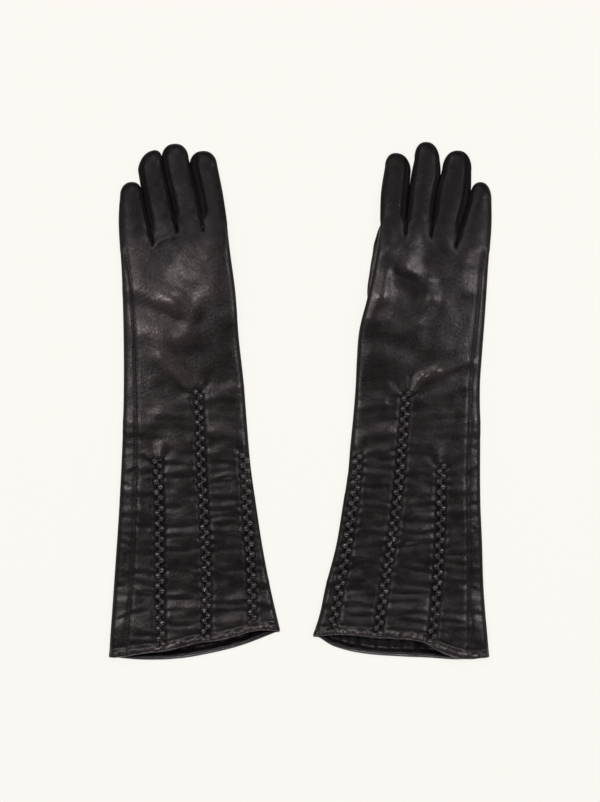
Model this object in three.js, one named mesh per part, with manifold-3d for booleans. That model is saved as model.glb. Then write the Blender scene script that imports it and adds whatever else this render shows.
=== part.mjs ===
// A pair of long leather dress gloves lying flat, palms down, with three shirred rows on each sleeve.
// Millimetres, +Z up, +Y towards the fingertips, origin on the surface under the middle of the pair.
//
// Both gloves share one set of builders. Across the pair a place is given by u, its distance from the
// middle plane, so x = side * u, where side is -1 for the left glove and +1 for the right one.
// u grows from the index side of a glove to its little finger side.
import * as THREE from "three";
import { mergeVertices } from "three/addons/utils/BufferGeometryUtils.js";
import Module from "manifold-3d";

const wasm = await Module();
wasm.setup();

// ---- driving dimensions ----
const LEATHER = 0.9; // glove leather
const GAP = 0.3; // clearance between sewn pieces
const TOP_GAP = 0.6; // clearance under the rows and threads on the back of the glove
const LINING = 0.5; // knitted silk lining
const SLEEVE_HEIGHT = 9; // flat sleeve, both layers and the air between them
const MOUTH_HEIGHT = 14; // the cuff stands a little open
const WRIST_Y = 44;
const WRIST_GAP = 1; // between the sleeve's and the hand's leather at the wrist line
const FACING_DEPTH = 14; // turned-in hem
const THUMB_HEIGHT = 5.2; // the thumb is pressed flat under the palm
const THUMB_LIFT = 5.7; // how far it raises the palm above it
const STALL_GAP = 2.5; // between the hand's leather and a finger's
const FOURCHETTE_WIDTH = 3.6; // height of the side strip in a finger lying flat
const ROW_PITCH = 8.9; // one left and one right puff of a shirred row
const ROW_WIDTH = 8.6;
const ROW_HEIGHT = 2.2;
const THREAD_WIDTH = 1;
const THREAD_HEIGHT = 0.6;

// Each outline runs from the cuff to the fingers as [y, u] knots.
const GLOVES = {
  left: {
    side: -1,
    littleEdge: [[-219, 162], [-160, 157.5], [-80, 152.5], [0, 149.2], [60, 149.3], [105, 150.8], [140, 153.2]],
    indexEdge: [[-197, 17], [-158, 26], [-117, 33.6], [-60, 41.5], [0, 47], [60, 52.5], [105, 57], [150, 63]],
    palmHem: [[17, -198], [38, -205], [62, -212], [96, -218.5], [127, -220.5], [162, -219]],
    backHem: [[17, -197], [30, -194.5], [66, -200], [103, -206.5], [147, -215], [162, -218]],
    rows: {
      inner: [[-49, 48], [-97, 44.7], [-145, 41.8], [-186, 40]],
      middle: [[8, 86.7], [-80, 82.9], [-153, 80.5], [-199, 79]],
      outer: [[-52, 120.4], [-129, 120], [-205, 118]],
    },
    seam: [[-214, 147.5], [-145, 143.6], [-64, 139.3], [0, 139.8], [56, 141.6], [87, 143.4], [127, 148]],
    thumb: { base: [75, 84], tip: [79, 152], halfWidth: 10.5 },
    fingers: {
      index: { base: [71.6, 149], tip: [83.7, 213], halfWidth: 10.3, lift: 5.8 },
      middle: { base: [94.7, 149], tip: [108, 219.3], halfWidth: 10.8, lift: 0.6 },
      ring: { base: [118.6, 146], tip: [127.7, 213.4], halfWidth: 10.2, lift: 0 },
      little: { base: [141.2, 138], tip: [146, 186.6], halfWidth: 9.6, lift: 0 },
    },
  },
  right: {
    side: 1,
    littleEdge: [[-219, 160.6], [-171, 156.8], [-96, 152.8], [0, 153], [46, 154.5], [87, 157.7], [140, 161]],
    indexEdge: [[-200, 12], [-158, 22.5], [-117, 31], [-60, 41], [0, 47], [46, 49], [87, 55], [128, 63.8], [150, 67.6]],
    palmHem: [[12, -201], [22, -207], [39, -213.5], [71, -217], [102, -219], [133, -220.5], [160, -219.6]],
    backHem: [[12, -200], [29, -199], [58, -200], [81, -202], [105, -205], [120, -211], [142, -218], [160, -218]],
    rows: {
      inner: [[-49, 49.4], [-90, 45.1], [-122, 41.1], [-166, 31.5], [-189, 27.3]],
      middle: [[6, 90.7], [-87, 81.8], [-148, 72.8], [-197, 66.3]],
      outer: [[-55, 119.9], [-97, 119.9], [-166, 115.1], [-202, 111]],
    },
    seam: [[-214, 142.8], [-145, 143.4], [-113, 141.2], [-64, 141.6], [11, 144], [79, 150.6], [127, 156]],
    thumb: { base: [71, 84], tip: [76, 157], halfWidth: 11 },
    fingers: {
      index: { base: [79.3, 149], tip: [83, 211.5], halfWidth: 10.9, lift: 5.8 },
      middle: { base: [101.8, 149], tip: [107.6, 220.6], halfWidth: 11, lift: 0.6 },
      ring: { base: [125.6, 147], tip: [133.9, 213.4], halfWidth: 10.9, lift: 0 },
      little: { base: [148.2, 138], tip: [154, 186.6], halfWidth: 10.4, lift: 0 },
    },
  },
};

// A flattened sleeve's section as [s, f]: s runs across from -1 at the index side to +1 at the little
// finger side, and f is the share of the height. The underside is flat.
const SECTION_TOP = [[-1, 0.45], [-0.975, 0.7], [-0.88, 0.9], [-0.6, 0.98], [-0.3, 1], [-0.1, 1], [0.1, 1],
  [0.3, 1], [0.6, 0.98], [0.88, 0.9], [0.975, 0.7], [1, 0.45]];
const SECTION_UNDER = [0.6, 0.3, 0.15, 0, -0.15, -0.3, -0.6].map((s) => [s, 0]);
const SECTION = [...SECTION_TOP, [0.985, 0.2], [0.93, 0], ...SECTION_UNDER, [-0.93, 0], [-0.985, 0.2]];

// ---- plain functions ----
const lerp = THREE.MathUtils.lerp;
const smoothstep = THREE.MathUtils.smoothstep;

// A smooth curve through [at, value] knots, as a function of at.
function through(knots) {
  const sorted = [...knots].sort((a, b) => a[0] - b[0]);
  const slope = sorted.map((knot, i) => {
    const before = sorted[Math.max(0, i - 1)];
    const after = sorted[Math.min(sorted.length - 1, i + 1)];
    return (after[1] - before[1]) / (after[0] - before[0]);
  });
  return (at) => {
    const clamped = THREE.MathUtils.clamp(at, sorted[0][0], sorted.at(-1)[0]);
    const found = sorted.findIndex((knot) => knot[0] >= clamped);
    const i = Math.max(1, found);
    const [x0, y0] = sorted[i - 1];
    const [x1, y1] = sorted[i];
    const width = x1 - x0;
    const t = (clamped - x0) / width;
    const rise = (3 - 2 * t) * t * t;
    return (
      lerp(y0, y1, rise) +
      width * (slope[i - 1] * t * (1 - t) ** 2 - slope[i] * t * t * (1 - t))
    );
  };
}

// The share of the height at s, along the straight sides of the section's top.
function topShare(s) {
  const clamped = THREE.MathUtils.clamp(s, -1, 1);
  const i = Math.max(1, SECTION_TOP.findIndex((point) => point[0] >= clamped));
  const [s0, f0] = SECTION_TOP[i - 1];
  const [s1, f1] = SECTION_TOP[i];
  return lerp(f0, f1, (clamped - s0) / (s1 - s0));
}

// A geometry from points and triangles, turned so that its faces point out.
function geometryOf(points, triangles) {
  const volume = triangles.reduce(
    (sum, [a, b, c]) => sum + points[a].dot(new THREE.Vector3().crossVectors(points[b], points[c])),
    0,
  );
  const outward = volume < 0 ? triangles.map(([a, b, c]) => [a, c, b]) : triangles;
  const geometry = new THREE.BufferGeometry().setFromPoints(points);
  geometry.setIndex(outward.flat());
  geometry.computeVertexNormals();
  return geometry;
}

// Triangles between two rings of n points that start at first and second.
function band(first, second, n) {
  return Array.from({ length: n }, (_, k) => {
    const next = (k + 1) % n;
    return [
      [first + k, first + next, second + next],
      [first + k, second + next, second + k],
    ];
  }).flat();
}

// A tube with a wall: outer and inner are lists of rings, joined by a rim at each open end.
// With tips, the far end is closed by a point on each side of the wall.
function walledTube(outer, inner, tips) {
  const n = outer[0].length;
  const points = [...outer.flat(), ...inner.flat()];
  const insideAt = outer.length * n;
  const triangles = band(insideAt, 0, n);
  for (let i = 0; i + 1 < outer.length; i++) {
    triangles.push(...band(i * n, (i + 1) * n, n));
    triangles.push(...band(insideAt + i * n, insideAt + (i + 1) * n, n).map(([a, b, c]) => [a, c, b]));
  }
  const lastOuter = (outer.length - 1) * n;
  const lastInner = insideAt + (inner.length - 1) * n;
  if (!tips) return geometryOf(points, [...triangles, ...band(lastOuter, lastInner, n)]);
  const [outerTip, innerTip] = [points.length, points.length + 1];
  points.push(...tips);
  for (let k = 0; k < n; k++) {
    const next = (k + 1) % n;
    triangles.push([lastOuter + k, lastOuter + next, outerTip]);
    triangles.push([lastInner + next, lastInner + k, innerTip]);
  }
  return geometryOf(points, triangles);
}

// A solid bar from a list of rings, closed flat at both ends.
function bar(rings) {
  const n = rings[0].length;
  const points = rings.flat();
  const last = (rings.length - 1) * n;
  const triangles = [];
  for (let i = 0; i + 1 < rings.length; i++) triangles.push(...band(i * n, (i + 1) * n, n));
  for (let k = 1; k + 1 < n; k++) {
    triangles.push([0, k + 1, k]);
    triangles.push([last, last + k, last + k + 1]);
  }
  return geometryOf(points, triangles);
}

// ---- booleans ----
function solidOf(geometry) {
  const bare = geometry.clone();
  bare.deleteAttribute("normal");
  bare.deleteAttribute("uv");
  const merged = mergeVertices(bare, 1e-4);
  const vertProperties = merged.attributes.position.array;
  return new wasm.Manifold(new wasm.Mesh({ numProp: 3, vertProperties, triVerts: merged.index.array }));
}

function geometryFrom(solid) {
  const mesh = solid.getMesh();
  const geometry = new THREE.BufferGeometry();
  geometry.setAttribute("position", new THREE.BufferAttribute(mesh.vertProperties, 3));
  geometry.setIndex(new THREE.BufferAttribute(mesh.triVerts, 1));
  geometry.computeVertexNormals();
  return geometry;
}

// ---- materials ----
const leather = new THREE.MeshStandardMaterial({ color: 0x1b1818, roughness: 0.42, metalness: 0 });
const sideLeather = new THREE.MeshStandardMaterial({ color: 0x151313, roughness: 0.5, metalness: 0 });
const liningSilk = new THREE.MeshStandardMaterial({ color: 0x121113, roughness: 0.75, metalness: 0 });
const thread = new THREE.MeshStandardMaterial({ color: 0x0c0b0c, roughness: 0.6, metalness: 0 });

function named(name, geometry, material) {
  const mesh = new THREE.Mesh(geometry, material);
  mesh.name = name;
  return mesh;
}

// ---- the flattened tube that the sleeve and the hand are cut from ----
// Returns how the glove's outline and layers lie, as functions of place.
function layoutOf(glove) {
  const littleEdge = through(glove.littleEdge);
  const indexEdge = through(glove.indexEdge);
  const palmHem = through(glove.palmHem);
  const backHem = through(glove.backHem);
  const thumbSide = glove.thumb.base[0] + glove.thumb.halfWidth;
  // Height of the section, opening towards the cuff.
  const height = (y) => lerp(MOUTH_HEIGHT, SLEEVE_HEIGHT, smoothstep(y, -215, -140));
  // The palm lies on the thumb along the index side of the hand.
  const lift = (u, y) => {
    const across = 1 - smoothstep(u, thumbSide + 3, thumbSide + 18);
    return THUMB_LIFT * across * smoothstep(y, 48, 70);
  };
  const middle = (y) => (littleEdge(y) + indexEdge(y)) / 2;
  const half = (y) => (littleEdge(y) - indexEdge(y)) / 2;
  const top = (u, y) => lift(u, y) + height(y) * topShare((u - middle(y)) / half(y));
  const place = (u, y, z) => new THREE.Vector3(glove.side * u, y, z);
  // A ring of section points at y, drawn in by inset. The y of each point comes from where.
  const ring = (inset, where) =>
    SECTION.map(([s, f]) => {
      const y = where(s, f);
      const raised = lift(middle(y) + s * half(y), y);
      const z = raised + inset + f * (height(y) - 2 * inset);
      return place(middle(y) + s * (half(y) - inset), y, z);
    });
  const hem = (s, f) => {
    const y = lerp(-219, -199, (1 - s) / 2);
    const u = middle(y) + s * half(y);
    return lerp(palmHem(u), backHem(u), smoothstep(f, 0.1, 0.9));
  };
  return { top, place, ring, hem };
}

// A tube of the flattened section between two ends, each a function of the section point.
function flatTube(layout, from, to, steps, inset, wall) {
  const rings = (by) =>
    Array.from({ length: steps + 1 }, (_, i) =>
      layout.ring(by, (s, f) => lerp(from(s, f), to(s, f), i / steps)),
    );
  return walledTube(rings(inset), rings(inset + wall));
}

// ---- the shirred rows and the seam threads, which follow the back of the glove ----
function strip(layout, knots, steps, width, height, sway) {
  const path = through(knots);
  const ys = knots.map((knot) => knot[0]);
  const [start, end] = [Math.max(...ys), Math.min(...ys)];
  const rings = Array.from({ length: steps + 1 }, (_, i) => {
    const y = lerp(start, end, i / steps);
    const u = path(y) + (i % 2 ? sway : -sway);
    const corners = [[-0.5, 0], [-0.2, 0], [0.2, 0], [0.5, 0], [0.3, height], [-0.3, height]];
    return corners.map(([across, up]) => {
      const at = u + across * width;
      return layout.place(at, y, layout.top(at, y) + TOP_GAP + up);
    });
  });
  return bar(rings);
}

function shirredRow(layout, knots) {
  const ys = knots.map((knot) => knot[0]);
  const steps = Math.round((2 * (Math.max(...ys) - Math.min(...ys))) / ROW_PITCH);
  const puff = 0.62 * ROW_WIDTH;
  return strip(layout, knots, steps, puff, ROW_HEIGHT, (ROW_WIDTH - puff) / 2);
}

function seamThread(layout, knots, from, to) {
  const path = through(knots);
  const steps = 8;
  const part = Array.from({ length: steps + 1 }, (_, i) => {
    const y = lerp(from, to, i / steps);
    return [y, path(y)];
  });
  return strip(layout, part, 2 * steps, THREAD_WIDTH, THREAD_HEIGHT, 0);
}

// ---- finger and thumb stalls: round-ended pockets along +Y from their open base ----
const STALL_SIDES = 12;
const STALL_RINGS = [0, 0.22, 0.5, 0.72, 0.86, 0.95];
const TIP_FROM = 0.72; // where the round end starts, as a share of the length

function stallRing(share, length, halfWidth, height, inset) {
  const round = Math.max(0, (share - TIP_FROM) / (1 - TIP_FROM));
  const narrow = Math.sqrt(1 - round * round);
  const widen = 1 - 0.08 * share;
  const across = (halfWidth * widen - inset) * narrow;
  const up = (height / 2 - inset) * (0.35 + 0.65 * narrow);
  const y = share === 0 ? 0 : share * (length - inset);
  return Array.from({ length: STALL_SIDES }, (_, k) => {
    const angle = (2 * Math.PI * k) / STALL_SIDES;
    const [c, s] = [Math.cos(angle), Math.sin(angle)];
    const x = across * Math.sign(c) * Math.abs(c) ** 0.85;
    const z = height / 2 + up * Math.sign(s) * Math.abs(s) ** 0.85;
    return new THREE.Vector3(x, y, z);
  });
}

function stall(length, halfWidth, height) {
  const rings = (inset) => STALL_RINGS.map((share) => stallRing(share, length, halfWidth, height, inset));
  const tips = [0, LEATHER].map((inset) => new THREE.Vector3(0, length - inset, height / 2));
  return walledTube(rings(0), rings(LEATHER), tips);
}

// A block over one side of a stall, from its base to the start of its round end.
function sideBlock(length, halfWidth, height, towards, tall, spare) {
  const reach = TIP_FROM * length - spare;
  const block = new THREE.BoxGeometry(halfWidth, reach + 10, tall);
  block.translate(towards * (1.15 * halfWidth + spare), (reach - 10) / 2, height / 2);
  return block;
}

const FINGER_HEIGHT = { index: 8.6, middle: 8.8, ring: 8.6, little: 8 };
// The sides of each finger that hold a fourchette: the sides that face another finger.
const FORKS = { index: ["middle"], middle: ["index", "ring"], ring: ["middle", "little"], little: ["ring"] };
const ORDER = ["index", "middle", "ring", "little"];

function fingerGroup(prefix, glove, finger) {
  const { base, tip, halfWidth, lift } = glove.fingers[finger];
  const height = FINGER_HEIGHT[finger];
  const length = Math.hypot(tip[0] - base[0], tip[1] - base[1]);
  const whole = solidOf(stall(length, halfWidth, height));
  const group = new THREE.Group();
  let shell = whole;
  for (const neighbour of FORKS[finger]) {
    const outwards = Math.sign(ORDER.indexOf(neighbour) - ORDER.indexOf(finger));
    const towards = glove.side * outwards;
    const block = (tall, spare) => solidOf(sideBlock(length, halfWidth, height, towards, tall, spare));
    shell = shell.subtract(block(FOURCHETTE_WIDTH, 0));
    const side = whole.intersect(block(FOURCHETTE_WIDTH - 2 * GAP, GAP));
    const name = `${prefix}_${finger}_fourchette_${neighbour}_side`;
    group.add(named(name, geometryFrom(side), sideLeather));
  }
  group.add(named(`${prefix}_${finger}_stall`, geometryFrom(shell), leather));
  group.position.set(glove.side * base[0], base[1], lift);
  group.rotation.order = "ZXY";
  group.rotation.z = -glove.side * Math.atan2(tip[0] - base[0], tip[1] - base[1]);
  group.rotation.x = -Math.atan2(lift, length);
  return group;
}

function thumbGroup(prefix, glove) {
  const { base, tip, halfWidth } = glove.thumb;
  const length = Math.hypot(tip[0] - base[0], tip[1] - base[1]);
  const group = new THREE.Group();
  group.add(named(`${prefix}_thumb_stall`, stall(length, halfWidth, THUMB_HEIGHT), leather));
  group.position.set(glove.side * base[0], base[1], 0);
  group.rotation.z = -glove.side * Math.atan2(tip[0] - base[0], tip[1] - base[1]);
  return group;
}

// ---- one glove ----
function gloveGroup(prefix) {
  const glove = GLOVES[prefix];
  const layout = layoutOf(glove);
  const group = new THREE.Group();
  const add = (name, geometry, material) => group.add(named(`${prefix}_${name}`, geometry, material));
  const inside = LEATHER + GAP;
  const sleeveEnd = () => WRIST_Y - WRIST_GAP / 2;
  const handStart = () => WRIST_Y + WRIST_GAP / 2;
  // The hand's leather ends in a line under the finger stalls, lower towards the little finger.
  const knuckles = through(ORDER.map((finger) => glove.fingers[finger].base));
  const handEnd = (s) => {
    const u = lerp(glove.indexEdge.at(-1)[1], glove.littleEdge.at(-1)[1], (1 + s) / 2);
    return knuckles(u) - STALL_GAP;
  };
  const aboveHem = (by) => (s, f) => layout.hem(s, f) + by;

  add("sleeve_leather", flatTube(layout, layout.hem, sleeveEnd, 22, 0, LEATHER), leather);
  add("hand_leather", flatTube(layout, handStart, handEnd, 8, 0, LEATHER), leather);
  const facingEnd = aboveHem(FACING_DEPTH);
  add("hem_facing", flatTube(layout, aboveHem(0.6), facingEnd, 1, inside, LINING), sideLeather);
  const liningStart = aboveHem(FACING_DEPTH + 1);
  add("sleeve_lining", flatTube(layout, liningStart, sleeveEnd, 10, inside, LINING), liningSilk);
  add("hand_lining", flatTube(layout, handStart, handEnd, 8, inside, LINING), liningSilk);

  for (const row of ["inner", "middle", "outer"]) {
    add(`${row}_shirred_row`, shirredRow(layout, glove.rows[row]), leather);
  }
  add("sleeve_seam_thread", seamThread(layout, glove.seam, -213, WRIST_Y - 1), thread);
  add("hand_seam_thread", seamThread(layout, glove.seam, WRIST_Y + 1, 127), thread);

  group.add(thumbGroup(prefix, glove));
  for (const finger of ORDER) group.add(fingerGroup(prefix, glove, finger));
  return group;
}

const gloves = new THREE.Group();
gloves.add(gloveGroup("left"), gloveGroup("right"));

export default gloves;
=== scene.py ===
"""Looks of a pair of long leather dress gloves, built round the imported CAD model.

Lengths are written in millimetres and turned to metres when a mesh is made. Across the pair a place is
given by u, its distance from the middle plane, so x = side * u, where side is -1 for the left glove and
+1 for the right one. Each glove's leather is one grid: rings run round the sleeve and the hand, from the
hem to the finger roots, and each finger goes on from its share of the last ring.
"""
import math

import bpy
import numpy as np
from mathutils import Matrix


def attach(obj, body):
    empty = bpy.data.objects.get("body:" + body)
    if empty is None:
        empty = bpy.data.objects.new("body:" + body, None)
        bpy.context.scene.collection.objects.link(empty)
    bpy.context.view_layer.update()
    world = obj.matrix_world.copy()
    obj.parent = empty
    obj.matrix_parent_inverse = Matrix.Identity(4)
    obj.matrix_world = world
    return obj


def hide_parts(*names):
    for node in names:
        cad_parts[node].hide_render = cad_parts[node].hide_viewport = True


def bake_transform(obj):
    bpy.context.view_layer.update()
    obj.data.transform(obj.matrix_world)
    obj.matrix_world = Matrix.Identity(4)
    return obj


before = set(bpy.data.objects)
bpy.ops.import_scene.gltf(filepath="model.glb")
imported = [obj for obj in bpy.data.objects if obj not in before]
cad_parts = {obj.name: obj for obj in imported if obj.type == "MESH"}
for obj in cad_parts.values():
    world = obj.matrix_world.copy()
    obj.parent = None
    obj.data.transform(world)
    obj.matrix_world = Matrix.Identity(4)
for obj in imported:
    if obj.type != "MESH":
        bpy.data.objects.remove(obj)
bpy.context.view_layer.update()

MM = 0.001

# ---- driving dimensions, mm ----
FLAT_HEIGHT = 9.0  # flat glove, both layers and the air between them
MOUTH_HEIGHT = 13.5  # the cuff stands a little open
THUMB_LIFT = 5.6  # how far the folded thumb raises the palm
FOLD_RADIUS = 5.0  # of the rounded side folds
ROW_STEP = 0.95  # spacing of the rings along the glove
ROOT_REACH = 20.0  # how far the finger roots shape the hand behind them
PUFF_PITCH = 8.9  # one left and one right puff of a shirred row
PUFF_SWAY = 2.05  # from the row's middle line to the middle of a puff
PUFF_RADIUS = 2.5
NECK_RADIUS = 1.6  # between two puffs
BACK_ROLL = 1.5  # radius of the hem's turned edge on the back
PALM_ROLL = 2.3  # and on the palm, where it lies fuller
FACING_DEPTH = 14.0
FINGER_BEND = 24.0  # length of a finger that bends at its root
STITCH = 2.6  # seam stitch and the space after it

# ---- how many quads round a ring ----
BACK = 20  # across the back of one finger, and as many across its share of the hand
PALM = 12
SIDE = 10

# Each outline runs as [y, u] knots, and each finger's sides as [u, y] knots from root to tip.
# seams says how high the seam to the side strip sits on the index and little sides of a finger, as a
# share of its half height: a high seam shows from above, and the side strip with it.
GLOVES = {
    "left": {
        "side": -1,
        "little_edge": [(-219, 162.8), (-160, 158.9), (-80, 153.6), (0, 150.5), (60, 150.6), (105, 151.9),
            (124, 152.8)],
        "index_edge": [(-197, 16.5), (-158, 25.5), (-124, 32), (-90, 37.2), (-56, 42), (-22, 45), (16, 48),
            (53, 52),
            (94, 55), (128, 59.5), (146, 61.5)],
        "palm_hem": [(17, -196), (30, -200.5), (44, -205.3), (69, -211.6), (97, -216.8), (133, -218.8),
            (162, -217.6)],
        "back_hem": [(17, -194), (30, -193.3), (40, -194.5), (54, -198.5), (69, -201.8), (83, -203.2),
            (99, -207),
            (115, -210.4), (133, -212.4), (150, -215), (162, -216.8)],
        "rows": {
            "inner": [(-46, 47.8), (-97, 44.7), (-145, 41.8), (-188, 40.5)],
            "middle": [(8, 86.7), (-55, 84), (-100, 81.6), (-166, 79.4), (-200, 80)],
            "outer": [(-51, 121.4), (-85, 120), (-170, 119), (-206, 118)],
        },
        "seam": [(-214, 147), (-178, 144.5), (-145, 142), (-97, 139.8), (-56, 138.8), (0, 139), (41, 140.4),
            (75, 141.9), (98, 144.2), (117, 147.3), (140, 149)],
        "thumb": {"path": [(75, 80, 4.5), (75.5, 96, 3.2), (77.5, 125, 2.8), (79, 151, 2.4)],
                "half_width": 10.2},
        "fingers": {
            "index": {"inner": [(61.5, 146), (66, 176), (71.2, 202)], "outer": [(82.5, 147.7), (87.6, 175),
            (93.6, 199.5)],
                "tip": (83.9, 213.4), "seams": (0.2, 0.94)},
            "middle": {"inner": [(82.7, 147.7), (87.9, 175), (93.4, 198), (95.4, 207)],
                "outer": [(104.7, 146.6), (111.3, 175), (116.7, 200), (117.6, 206)],
                "tip": (107.2, 219.6), "seams": (0.4, 0.84)},
            "ring": {"inner": [(104.9, 146.6), (111.5, 175), (116.9, 199), (117.9, 203.5)],
                "outer": [(125.1, 135.4), (130.6, 157), (134.6, 178), (137.8, 197)],
                "tip": (126.9, 213.6), "seams": (0.45, 0.86)},
            "little": {"inner": [(125.3, 135.4), (130.8, 157), (134.9, 176)], "outer": [(152.8, 124),
            (154.2, 158),
            (153, 175.5)],
                "tip": (143.8, 187), "seams": (0.4, 0.5)},
        },
        # The deepest creases, most of them between the shirred rows: ends as u, y.
        "creases": [(115, -126, 90, -127), (77, -92, 49, -93), (74, -142, 47, -143), (115, -167, 88, -168),
            (139, -163, 125, -164), (76, -112, 50, -114), (113, -106, 88, -105),
            (113, -190, 88, -188)],
        # Soft folds: ends as u, y, then half width and height.
        "folds": [
            (141, 95, 110, 87, 10, 1.8), (110, 87, 92, 74, 9, 1.3), (121, 104, 95, 89, 10.4, -0.6),
            (125, 75, 107, 63, 9.1, -0.6), (137, 59, 100, 54, 11, 1.8), (116, 35, 91, 13, 7.5, 1.8),
            (122, 20, 104, 6, 10.4, -0.6), (97, 108, 76, 101, 10, 1.1), (91, 121, 70, 118, 10.4, -0.55),
            (76, 87, 65, 75, 9, 0.9), (120, 134, 110, 140, 4.5, 0.7),
            (146, 134, 133, 131, 5, 0.5), (144, 128, 134, 126, 5.2, -0.2), (80, 11, 52, 20, 5.2, -0.5),
            (78, 3, 55, 12, 6, 0.9), (70, 36, 56, 50, 13, -0.45), (75, -20, 60, -30, 7, 0.9),
            (108, -8, 134, -22, 8, 0.8), (110, -24, 138, -40, 9.1, -0.4),
        ],
    },
    "right": {
        "side": 1,
        "little_edge": [(-219, 161.4), (-195, 159.2), (-160, 156.6), (-120, 155.3), (-90, 154),
            (-25, 153.8),
            (17, 153.7), (40, 155.3), (73, 157.8), (107, 160), (124, 160.9)],
        "index_edge": [(-200, 10.8), (-185, 15.8), (-158, 21.8), (-124, 30.6), (-90, 36.3), (-62, 40.8),
            (-38, 42.9),
            (-8, 45.8), (13, 47.4), (34, 48.3), (60, 50.4), (87, 57), (114, 62.9), (150, 68.3)],
        "palm_hem": [(13, -200), (23, -206), (37, -210.4), (59, -214), (86, -215.9), (113, -217),
            (138, -218.6),
            (161, -217.4)],
        "back_hem": [(13, -198.5), (32, -196.9), (46, -197.6), (64, -199.4), (82, -200.4), (102, -202.2),
            (111, -205),
            (120, -210.6), (131, -215), (142, -217.4), (161, -216.8)],
        "rows": {
            "inner": [(-47, 49.3), (-68, 48), (-104, 43.1), (-145, 36.5), (-176, 30.5), (-190, 27.6)],
            "middle": [(6.5, 90.5), (-40, 86.7), (-84, 82.8), (-124, 77.4), (-166, 70.6), (-197, 66)],
            "outer": [(-55, 120.4), (-104, 119.6), (-153, 117), (-193, 113), (-204, 111.6)],
        },
        "seam": [(-214, 142.3), (-178, 142.8), (-128, 143), (-97, 142.2), (-64, 142.2), (0, 144.2),
            (37, 145.7),
            (56, 148), (86, 151), (117, 154.2), (142, 159)],
        "thumb": {"path": [(71, 80, 4.5), (68, 96, 3.2), (71.5, 125, 2.8), (76, 156.5, 2.4)],
                "half_width": 10.6},
        "fingers": {
            "index": {"inner": [(68.3, 150), (69.7, 180), (72.9, 199.5)], "outer": [(89.6, 144.5),
            (91.7, 170),
            (94.1, 196)],
                "tip": (83.5, 211.6), "seams": (0.2, 0.88)},
            "middle": {"inner": [(89.8, 144.5), (92, 165), (95.3, 193), (98.1, 206)],
                "outer": [(111.6, 143.1), (113.4, 158), (116.8, 181), (119.6, 197), (118.7, 206)],
                "tip": (107.6, 221.2), "seams": (0.7, 0.72)},
            "ring": {"inner": [(111.8, 143.1), (113.7, 158), (117, 181), (121.7, 197.5)],
                "outer": [(132.6, 132.8), (135.2, 141.5), (141.4, 161), (145, 177), (145.8, 197)],
                "tip": (134.7, 213.8), "seams": (0.7, 0.86)},
            "little": {"inner": [(132.8, 132.8), (135.5, 141.5), (141.7, 161), (145.2, 172)],
                "outer": [(161, 124), (163, 152), (162.9, 172.5)],
                "tip": (153.8, 186.9), "seams": (0.4, 0.5)},
        },
        "creases": [(39, -159, 63, -159), (79, -162, 107, -163), (38, -181, 62, -181),
            (78, -184, 110, -188),
            (114, -185, 141, -188), (52, -89, 76, -91), (49, -111, 73, -112), (87, -111, 110, -113),
            (124, -130, 141, -130), (80, -140, 112, -144), (45, -135, 68, -137)],
        "folds": [
            (73, 105, 70, 88, 6, 1.6), (70, 88, 64, 71, 6, 1.2), (74, 126, 96, 136, 5, 1.0),
            (76, 134, 88, 132, 7.8, -0.4),
            (96, 128, 92, 113, 8, 1.1), (88, 98, 96, 80, 15, -1.0), (91, 113, 110, 103, 6, 1.0),
            (83, 104, 107, 94, 8.5, -0.7), (102, 124, 110, 110, 9.1, -0.55), (109, 100, 112, 87, 5.5, 1.1),
            (112, 87, 100, 66, 6, 1.0), (100, 66, 86, 58, 7, 0.9), (104, 88, 98, 74, 7.8, -0.55),
            (139, 81, 110, 63, 11.7, -0.65),
            (142, 93, 125, 84, 9, 0.9), (96, 10, 102, 19, 4.5, 1.3), (102, 19, 115, 25, 4.5, 1.2),
            (115, 25, 144, 33, 5, 1.0),
            (105, 10, 142, 25, 6.5, -0.6), (110, 30, 145, 39, 7.2, -0.55), (106, 2, 139, 12, 5, 0.9),
            (124, 142, 126, 132, 6, 0.7), (148, 130, 143, 120, 7, 0.8), (79, 143, 76, 136, 6, 0.7),
            (56, 14, 66, 7, 6.5, -0.45), (53, -5, 70, -2, 5, 0.8), (76, -22, 58, -30, 6, 0.8),
            (60, 52, 84, 46, 10.4, -0.5),
            (62, 40, 84, 33, 8, 0.8),
        ],
    },
}
FINGERS = ("index", "middle", "ring", "little")


# ---- plain functions ----
def through(knots):
    """A smooth curve through (at, value) knots, as a function of at. A value may be a tuple."""
    knots = sorted(knots, key=lambda knot: knot[0])
    at = np.array([knot[0] for knot in knots], float)
    value = np.array([knot[1] for knot in knots], float)
    slope = np.gradient(value, at, axis=0)

    def curve(where):
        where = np.clip(np.asarray(where, float), at[0], at[-1])
        i = np.clip(np.searchsorted(at, where, side="right") - 1, 0, len(at) - 2)
        width = at[i + 1] - at[i]
        t = (where - at[i]) / width
        if value.ndim > 1:
            t, width = t[..., None], width[..., None]
        rise = t * t * (3 - 2 * t)
        bend = slope[i] * t * (1 - t) ** 2 - slope[i + 1] * t * t * (1 - t)
        return value[i] * (1 - rise) + value[i + 1] * rise + width * bend

    return curve


def by_length(knots):
    """A smooth curve through the knots, as a function of the share of its length, 0 to 1."""
    steps = [math.dist(first, second) for first, second in zip(knots, knots[1:])]
    shares = np.concatenate([[0], np.cumsum(steps)]) / sum(steps)
    return through(list(zip(shares, knots)))


def smoothstep(at, low, high):
    t = np.clip((np.asarray(at, float) - low) / (high - low), 0, 1)
    return t * t * (3 - 2 * t)


def bell(away, width):
    """1 at no distance, falling off smoothly on both sides."""
    return np.exp(-((away / width) ** 2))


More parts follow.
